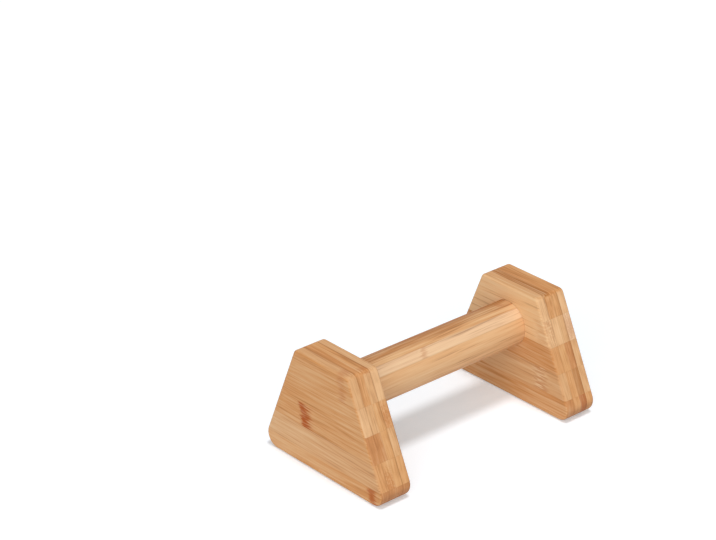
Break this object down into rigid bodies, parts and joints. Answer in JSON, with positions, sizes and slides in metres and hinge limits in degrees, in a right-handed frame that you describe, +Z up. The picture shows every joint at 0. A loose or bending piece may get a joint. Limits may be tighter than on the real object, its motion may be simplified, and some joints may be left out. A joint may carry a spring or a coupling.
{
  "type": "parallette bar",
  "caption": "Low free-standing push-up bar: tapered laminated bamboo end plates with a round laminated bamboo grip bar glued between them.",
  "frame": {"origin": "on the floor, midway between the end plates, under the middle of the grip bar", "axes": "+X along the grip bar towards the right plate, +Y across the plates towards the back, +Z up"},
  "size_m": [0.205, 0.1254, 0.0893],
  "materials": {
    "bamboo_maize": "sanded and satin lacquered",
    "bamboo_cream": "sanded and satin lacquered",
    "bamboo_pale": "sanded and satin lacquered",
    "bamboo_straw": "sanded and satin lacquered",
    "bamboo_honey": "sanded and satin lacquered",
    "bamboo_amber": "sanded and satin lacquered",
    "bamboo_copper": "sanded and satin lacquered",
    "bamboo_russet": "sanded and satin lacquered"
  },
  "bodies": {
    "root": {"bar_lamella_1_strip": "bamboo_pale", "bar_lamella_2_lower_strip": "bamboo_straw", "bar_lamella_2_upper_strip": "bamboo_cream", "bar_lamella_3_lower_strip": "bamboo_straw", "bar_lamella_3_upper_strip": "bamboo_straw", "bar_lamella_4_lower_strip": "bamboo_honey", "bar_lamella_4_upper_strip": "bamboo_amber", "bar_lamella_5_lower_strip": "bamboo_amber", "bar_lamella_5_upper_strip": "bamboo_copper", "bar_lamella_6_lower_strip": "bamboo_pale", "bar_lamella_6_upper_strip": "bamboo_straw", "bar_lamella_7_strip": "bamboo_honey", "left_inner_core_strip_above_bar_1": "bamboo_honey", "left_inner_core_strip_at_bar_back": "bamboo_honey", "left_inner_core_strip_at_bar_front": "bamboo_honey", "left_inner_core_strip_below_bar_1": "bamboo_honey", "left_inner_core_strip_below_bar_2": "bamboo_honey", "left_inner_core_strip_below_bar_3": "bamboo_amber", "left_inner_face_strip_above_bar_1": "bamboo_straw", "left_inner_face_strip_at_bar_back": "bamboo_honey", "left_inner_face_strip_at_bar_front": "bamboo_honey", "left_inner_face_strip_below_bar_1": "bamboo_straw", "left_inner_face_strip_below_bar_2": "bamboo_honey", "left_inner_face_strip_below_bar_3": "bamboo_copper", "left_outer_core_strip_above_bar_1": "bamboo_amber", "left_outer_core_strip_at_bar_back": "bamboo_straw", "left_outer_core_strip_at_bar_front": "bamboo_straw", "left_outer_core_strip_below_bar_1": "bamboo_copper", "left_outer_core_strip_below_bar_2": "bamboo_honey", "left_outer_core_strip_below_bar_3": "bamboo_copper", "left_outer_face_strip_above_bar_1": "bamboo_honey", "left_outer_face_strip_at_bar": "bamboo_honey", "left_outer_face_strip_below_bar_1": "bamboo_honey", "left_outer_face_strip_below_bar_2": "bamboo_straw", "left_outer_face_strip_below_bar_3": "bamboo_honey", "right_inner_core_strip_above_bar_1": "bamboo_russet", "right_inner_core_strip_at_bar_back": "bamboo_pale", "right_inner_core_strip_at_bar_front": "bamboo_pale", "right_inner_core_strip_below_bar_1": "bamboo_honey", "right_inner_core_strip_below_bar_2": "bamboo_amber", "right_inner_core_strip_below_bar_3": "bamboo_amber", "right_inner_face_strip_above_bar_1": "bamboo_maize", "right_inner_face_strip_at_bar_back": "bamboo_maize", "right_inner_face_strip_at_bar_front": "bamboo_maize", "right_inner_face_strip_below_bar_1": "bamboo_amber", "right_inner_face_strip_below_bar_2": "bamboo_straw", "right_inner_face_strip_below_bar_3": "bamboo_amber", "right_outer_core_strip_above_bar_1": "bamboo_amber", "right_outer_core_strip_at_bar_back": "bamboo_straw", "right_outer_core_strip_at_bar_front": "bamboo_straw", "right_outer_core_strip_below_bar_1": "bamboo_copper", "right_outer_core_strip_below_bar_2": "bamboo_copper", "right_outer_core_strip_below_bar_3": "bamboo_russet", "right_outer_face_strip_above_bar_1": "bamboo_honey", "right_outer_face_strip_at_bar": "bamboo_pale", "right_outer_face_strip_below_bar_1": "bamboo_straw", "right_outer_face_strip_below_bar_2": "bamboo_straw", "right_outer_face_strip_below_bar_3": "bamboo_honey"}
  },
  "joints": []
}
